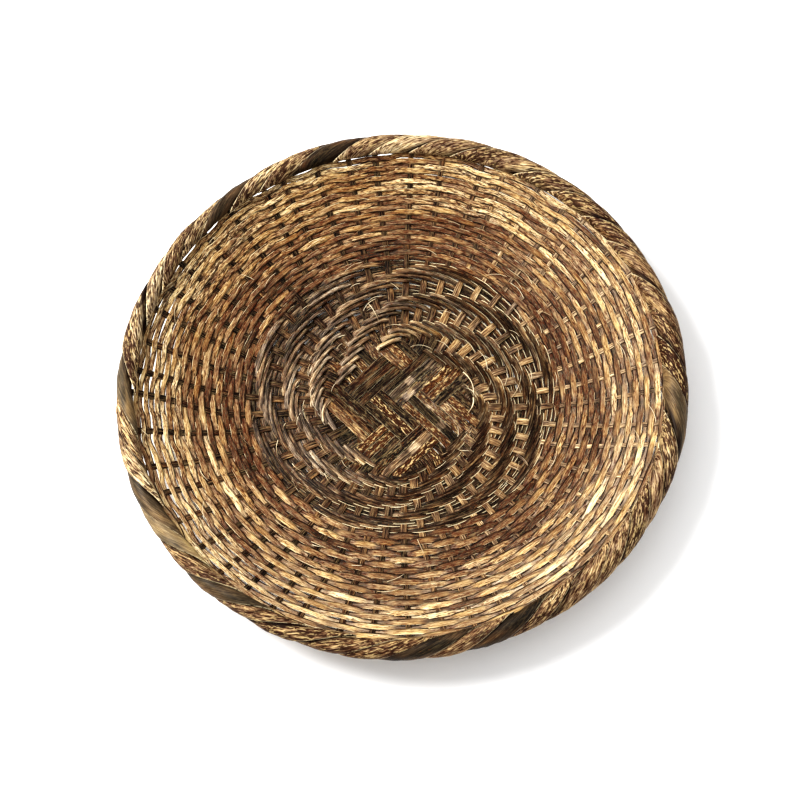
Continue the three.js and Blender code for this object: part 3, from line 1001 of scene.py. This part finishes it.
def cut_place(row):
    """The stake, counted round the spiral, under which a turn of the weaver begins."""
    hidden = HIDDEN_IN_BASE if row < BASE_ROWS else HIDDEN_ON_WALL
    if row == BASE_ROWS:
        hidden = HIDDEN_AT_BASE_EDGE
    count = row * STAKES
    while row > 0 and count % (2 * BASE_FLOAT) not in hidden:
        count += 1
    return count


def base_strand_shape(count, over, pitch, seed):
    """Bow, lift, tilt and width of a base strand, which leans on its neighbour where it is on top."""
    up = np.clip(over, 0, 1)
    lift = over * 0.72 + 0.6 * up
    uneven = 1 + 0.3 * smooth_noise(count / 2.1, seed + 3)
    tilt = math.radians(9) + math.radians(19) * up * uneven
    return 0.45 * over, lift, tilt, (1.05 + 0.27 * up) * pitch


def wall_strand_shape(count, angle, over, pitch, seed):
    """Bow, lift, tilt and width of a wall strand. High on the open side the strands leave gaps."""
    right = facing(angle, LOWER_RIGHT)
    lift = over * mix(0.46, 0.6, right) + 0.05 * smooth_noise(count / 1.7, seed + 2)
    tilt = np.radians(mix(3.5, 5.0, right)) + math.radians(2.5) * smooth_noise(count / 1.3, seed + 3)
    width = mix(1.12, 1.2, right) * pitch
    high_up = smooth_step(count / STAKES, ROWS - 11, ROWS - 5)
    width = width - 0.24 * pitch * towards(angle, OPEN_SIDE, 0.45, 0.9) * high_up
    return -mix(0.1, 0.42, right) * over, lift, tilt, width


def make_weaver(row):
    """One turn of the spiral weaver, cut under a stake at each end."""
    in_base = row < BASE_ROWS
    seed = 1000 + row * 10
    first, begin, end = row * STAKES, cut_place(row), cut_place(row + 1)
    count = np.linspace(begin + 0.02, end - 0.02, (end - begin) * STEPS_PER_STAKE)
    here = count / STAKES
    angle = stake_angle(count - first)
    # A row's distance depends on the angle, and a stake's angle on the distance.
    for _ in range(4):
        distance = row_distance(here, angle)
        angle = angle_at(count - first, distance)
    pitch = row_pitch(angle, in_base)
    over = over_under(count, row)
    if in_base:
        bow, lift, tilt, width = base_strand_shape(count, over, pitch, seed)
    else:
        bow, lift, tilt, width = wall_strand_shape(count, angle, over, pitch, seed)
    waver = (0.25 if in_base else 0.12) * smooth_noise(count / 2.5, seed)
    distance = distance + bow + waver + 0.3 * smooth_noise(count / 9, seed + 1)
    width = width * (1 + 0.08 * smooth_noise(count / 4, seed + 4))
    centre, normal = surface(distance, angle, lift)
    thickness, rough_edges = (BASE_STRAND_THICKNESS, 0.07) if in_base else (WALL_STRAND_THICKNESS, 0.04)
    hints = weaver_tones(here, angle, over, count, seed + 5)
    part = ribbon(centre, normal, width, thickness, seed, hints, -tilt, rough_edges)
    if in_base:
        part["edge"] = part["edge"] * mix(1.0, 0.72, towards(angle, 160, -0.2, 0.8))[:, None]
    return part


SPLINTER_STATIONS = 9
SPLINTER_BEND = 0.08
SPLINTER_CLEARANCE = 1.2


def make_splinter(start, end, rise, width, seed, tone):
    """A fibre that has sprung loose: from one place to another, standing a little off the surface."""
    t = np.linspace(0, 1, SPLINTER_STATIONS)
    distance, angle = mix(start[0], end[0], t), mix(start[1], end[1], t)
    length = np.hypot(end[0] - start[0], (end[1] - start[1]) * start[0])
    distance = distance + SPLINTER_BEND * length * np.sin(math.pi * t)
    centre, normal = surface(distance, angle, SPLINTER_CLEARANCE + rise * np.sin(0.75 * math.pi * t))
    taper = width * (1 - 0.6 * t)
    thickness = np.minimum(0.5, 0.6 * taper)
    part = ribbon(centre, normal, taper, thickness, seed, (tone, 0.0, 0.55), rough_edges=0.0)
    part["edge"] = np.zeros_like(part["across"])
    return part


# Loose fibres that stand out: row, where from and to in plan, how far off the surface, and width.
LOOSE_FIBRES = [(25, (13, -115), (18, -129), 2.2, 0.8), (2, (50, 30), (58, 8), 2.0, 1.0),
                (3, (58, 8), (54, -6), 1.6, 1.3), (4, (-57, 6), (-62, -14), 1.4, 3.4),
                (8, (-27, 92), (-18, 75), 2.4, 0.6), (9, (-20, 96), (-31, 84), 2.0, 0.5),
                (12, (92, -42), (101, -53), 1.8, 2.2), (36, (-204, -36), (-198, -42), 2.0, 0.7)]
FINE_FIBRE_TONE = 0.92
BROAD_FIBRE_TONE = 0.62
BROAD_FROM = 1.5


def on_surface(plan):
    """The distance and angle of a place given in plan."""
    radius = math.hypot(*plan)
    return float(np.interp(radius, PROFILE_RADIUS, PROFILE_AT)), math.atan2(plan[1], plan[0])


def splinters(row):
    """The loose fibres of one turn of the spiral: the listed ones, and a few small ones at random."""
    parts = []
    for number, (own_row, start, end, rise, width) in enumerate(LOOSE_FIBRES):
        if own_row == row:
            (near, near_angle), (far, far_angle) = on_surface(start), on_surface(end)
            far_angle = near_angle + either_way(far_angle - near_angle)
            tone = BROAD_FIBRE_TONE if width > BROAD_FROM else FINE_FIBRE_TONE
            parts.append(make_splinter((near, near_angle), (far, far_angle), rise, width,
                                       3000 + number, tone))
    draw = np.random.default_rng(3100 + row)
    for number in range(5 if row < BASE_ROWS else 3):
        angle = draw.uniform(0, TAU)
        distance = float(row_distance(row + angle / TAU, np.array(angle)))
        length, heading = draw.uniform(6, 20), draw.normal(0, 0.35)
        end = (distance + length * math.sin(heading), angle + length * math.cos(heading) / distance)
        rise, width = draw.uniform(0.6, 2.2), draw.uniform(0.3, 0.55)
        seed = 3200 + row * 8 + number
        parts.append(make_splinter((distance, angle), end, rise, width, seed, draw.uniform(0.7, 1.0)))
    return parts


def build_weavers():
    """One piece for each turn of the spiral. A turn stands in for the CAD band that it lies in."""
    kinds = (("base", 0, BASE_ROWS, CAD_BASE_BANDS, BASE_MATERIAL),
             ("wall", BASE_ROWS, WALL_ROWS, CAD_WALL_BANDS, WALL_MATERIAL))
    for kind, first, rows, bands, material in kinds:
        for step in range(rows):
            row = first + step
            cad = f"{kind}_weaver_{step * bands // rows + 1:02d}"
            add_piece(f"{kind}_strand_{step + 1:02d}", [make_weaver(row)] + splinters(row), material,
                      [cad])


# ---- Rim ----

def rim_point(angle, turn, radius):
    """A point round the rim's section: turn counts from outwards over the top to inwards."""
    reach = RIM_RADIUS + radius * np.cos(turn)
    height = RIM_HEIGHT + radius * np.sin(turn)
    reach, height = warp(reach, angle, height)
    return np.stack([reach * np.cos(angle), reach * np.sin(angle), height], -1)


# The hoop's section: along the wall, and out from the stakes' middle.
HOOP_SECTION = [(-4.2, 0.9), (4.2, 0.9), (3.6, 2.6), (1.7, 3.9), (-1.7, 3.9), (-3.6, 2.6)]
HOOP_TURN = 0.999
HOOP_STATIONS = 240


def make_hoop(side):
    """A half-round hoop on the inner (+1) or outer (-1) side of the stakes."""
    angle = np.linspace(0, TAU * HOOP_TURN, HOOP_STATIONS)[:, None]
    place, off = np.array(HOOP_SECTION if side > 0 else HOOP_SECTION[::-1]).T
    cos_s, sin_s = math.cos(WALL_SLOPE), math.sin(WALL_SLOPE)
    turn = np.arctan2(place * sin_s + side * off * cos_s, place * cos_s - side * off * sin_s)
    shape = (len(angle), len(place))
    return {
        "points": rim_point(angle, turn, np.hypot(place, off)),
        "along": np.broadcast_to(angle * RIM_RADIUS, shape),
        "across": np.broadcast_to(place, shape),
        "edge": np.zeros(shape),
        "flat_sides": [],
        "seed": 40 + side,
        "tones": tone_list(shape, 0.5, 0.3, 0.7),
    }


def nearest_gap(turn):
    """The middle of the gap between stakes nearest to where a turn of the lashing begins."""
    nominal = (turn + 0.5) * TAU / WRAP_TURNS
    gap = round((nominal - FIRST_STAKE_ANGLE) / STAKE_ANGLE - 0.5)
    return FIRST_STAKE_ANGLE + (gap + 0.5) * STAKE_ANGLE


WRAP_STEPS = 56
WRAP_ACROSS = np.linspace(-1, 1, 13)
WRAP_SPACING = TAU / WRAP_TURNS
WRAP_LAY = 1.7  # spacings that a turn slants over
WRAP_HALF_WIDTH = 0.60 * WRAP_SPACING
WRAP_HALF_IN_GAP = math.radians(2.1)
WRAP_THICKNESS = 0.6

# The lashing's turns that are smooth sheath, counted from +X, and how pale each is: partly painted light,
# paler on the left where the lamp falls and near +X where it glints.
SHEATH_TURNS = {11: 0.2, 14: 0.3, 20: 0.44, 23: 0.38, 24: 0.52, 26: 0.36, 31: 0.24, 33: 0.24, 40: 0.44}

# How pale the speckled turns are at some angles round the rim, in degrees: partly painted light, paler on
# the left and top where the lamp falls and darker on the right and bottom, with the lashing's own tone.
SPECKLED_ANGLES = [0, 40, 70, 100, 165, 185, 200, 222, 240, 270, 330, 360]
SPECKLED_TONES = [0.48, 0.5, 0.6, 0.7, 0.73, 0.64, 0.53, 0.7, 0.53, 0.47, 0.58, 0.48]


def wrap_tones(turn):
    """Each turn of the lashing is either speckled straw or smooth grey-brown sheath."""
    draw = np.random.default_rng(2000 + turn)
    if turn in SHEATH_TURNS:
        return SHEATH_TURNS[turn] + 0.03 * draw.normal(), 0.1, 0.2
    tone = np.interp((turn + 1) * 360 / WRAP_TURNS, SPECKLED_ANGLES, SPECKLED_TONES)
    return tone + 0.06 * draw.normal(), 0.7 + 0.1 * draw.normal(), 0.5


def wrap_surface(turn, stop, place, openness, bulge):
    """How far the lashing's skin is from the middle of the rim: a lumpy core, laps and creases."""
    down = stop[:, None]
    across = WRAP_ACROSS[None, :]
    bulk = RIM_TUBE - 0.9 + 0.6 * ring_noise(place, 13, 31) + 0.4 * ring_noise(place, 29, 32)
    bulk = bulk + 0.9 * towards(place, 0, 0.3, 1.0) + bulge
    lap = 1.25 * smooth_step(across, -1.0, 0.9) + 0.75 * np.cos(across * 1.5)
    crease = 0.26 * smooth_noise(across * 4.0 + down / 220, 2200 + turn)
    crease = crease + 0.16 * smooth_noise(across * 9.0 + down / 160, 2300 + turn)
    crease = crease + 0.25 * smooth_noise(down / 38 + across, 2400 + turn)
    return bulk + (lap + crease) * openness[:, None]


def make_wrap(turn):
    """One turn of the lashing, from the gap that it comes up through to the next. Its stops are
    degrees round the rim's section, from the wall out, over the top and back to the wall."""
    draw = np.random.default_rng(2100 + turn)
    stop = np.linspace(2, 358, WRAP_STEPS)
    slant = WRAP_LAY * (smooth_step(stop, 95, 352) - 0.5)
    nominal = (turn + 1 + slant) * WRAP_SPACING + 0.1 * WRAP_SPACING * draw.normal()
    openness = smooth_step(np.minimum(stop, 360 - stop), 4, 28)
    passing = np.where(stop < 180, nearest_gap(turn), nearest_gap(turn + 1))
    middle = mix(passing, nominal, openness)
    half = mix(WRAP_HALF_IN_GAP, WRAP_HALF_WIDTH, openness)
    place = middle[:, None] + half[:, None] * WRAP_ACROSS
    outer = wrap_surface(turn, stop, place, openness, 0.3 * draw.normal())
    section = (math.pi + WALL_SLOPE + np.radians(stop))[:, None]
    skin = rim_point(place, section, outer)
    inner = rim_point(place, section, outer - WRAP_THICKNESS)
    round_step = RIM_TUBE * np.gradient(np.radians(stop))
    step = np.hypot(round_step, RIM_RADIUS * np.gradient(middle))
    length = np.cumsum(step)[:, None] + np.zeros_like(place)
    width = (place - middle[:, None]) * RIM_RADIUS * (round_step / step)[:, None]
    edge = np.broadcast_to(WRAP_ACROSS, place.shape)

    def both_sides(skin_side, inner_side):
        return np.concatenate([skin_side, inner_side[:, ::-1]], 1)

    return {
        "points": both_sides(skin, inner),
        "along": both_sides(length, length),
        "across": both_sides(width, width),
        "edge": both_sides(edge, edge),
        "flat_sides": [len(WRAP_ACROSS) - 1, 2 * len(WRAP_ACROSS) - 1],
        "seed": 60 + turn * 3,
        "tones": tone_list((WRAP_STEPS, 2 * len(WRAP_ACROSS)), *wrap_tones(turn)),
    }


def build_rim():
    """The two hoops, and a piece for each turn of the lashing."""
    add_piece("rim_hoop_inner", [make_hoop(1)], HOOP_MATERIAL, ["inner_hoop"])
    add_piece("rim_hoop_outer", [make_hoop(-1)], HOOP_MATERIAL, ["outer_hoop"])
    for turn in range(WRAP_TURNS):
        cad = f"rim_wrap_{turn // TURNS_PER_CAD_WRAP + 1:02d}"
        sheath = turn in SHEATH_TURNS
        add_piece(f"rim_lashing_{turn + 1:02d}", [make_wrap(turn)],
                  SHEATH_MATERIAL if sheath else WRAP_MATERIAL, [cad])


# ---- Camera, light and floor, in metres ----

CAMERA_ELEVATION = math.radians(65.9)
CAMERA_DISTANCE = 9.0 * (RIM_RADIUS + RIM_TUBE) * MM
CAMERA_LENS = 115.7
AIM_DROP = 0.0113
AIM_LEFT = 0.0008
FLOOR_HALF = 6.0
WORLD_STRENGTH = 0.84
KEY_PLACE = (-1.45, 0.42, 1.75)
KEY_SIZE = 1.3
KEY_POWER = 67


def add_camera():
    """A long lens in front of the basket and high up, aimed a little below its middle."""
    camera = add_object("camera", bpy.data.cameras.new("camera"))
    toward = Vector((0, math.cos(CAMERA_ELEVATION), -math.sin(CAMERA_ELEVATION)))
    up = Vector((0, math.sin(CAMERA_ELEVATION), math.cos(CAMERA_ELEVATION)))
    target = Vector((-AIM_LEFT, 0, RIM_HEIGHT * MM)) - up * AIM_DROP
    camera.location = target - toward * CAMERA_DISTANCE
    camera.rotation_euler = toward.to_track_quat("-Z", "Y").to_euler()
    camera.data.lens = CAMERA_LENS
    camera.data.sensor_width = 36
    camera.data.clip_end = 20
    bpy.context.scene.camera = camera


def add_floor():
    """A plain pale floor, far wider than the view."""
    mesh = bpy.data.meshes.new("floor")
    corners = [(x * FLOOR_HALF, y * FLOOR_HALF, 0) for x, y in ((-1, -1), (1, -1), (1, 1), (-1, 1))]
    mesh.from_pydata(corners, [], [(0, 1, 2, 3)])
    material = bpy.data.materials.new("pale floor")
    material.use_nodes = True
    shader = material.node_tree.nodes["Principled BSDF"]
    shader.inputs["Base Color"].default_value = (0.9, 0.9, 0.9, 1)
    shader.inputs["Roughness"].default_value = 0.9
    mesh.materials.append(material)
    add_object("floor", mesh)


def add_light():
    """White light from all round, and one large soft lamp high on the left."""
    world = bpy.data.worlds.new("studio")
    world.use_nodes = True
    background = world.node_tree.nodes["Background"]
    background.inputs["Color"].default_value = (1, 1, 1, 1)
    background.inputs["Strength"].default_value = WORLD_STRENGTH
    bpy.context.scene.world = world
    key = add_object("key", bpy.data.lights.new("key", "AREA"))
    key.data.shape = "DISK"
    key.data.size = KEY_SIZE
    key.data.energy = KEY_POWER
    key.location = KEY_PLACE
    key.rotation_euler = (-Vector(KEY_PLACE)).to_track_quat("-Z", "Y").to_euler()
    bpy.context.scene.view_settings.view_transform = "Standard"
    bpy.context.scene.view_settings.look = "High Contrast"


add_camera()
add_floor()
add_light()
build_strips()
build_weavers()
build_rim()
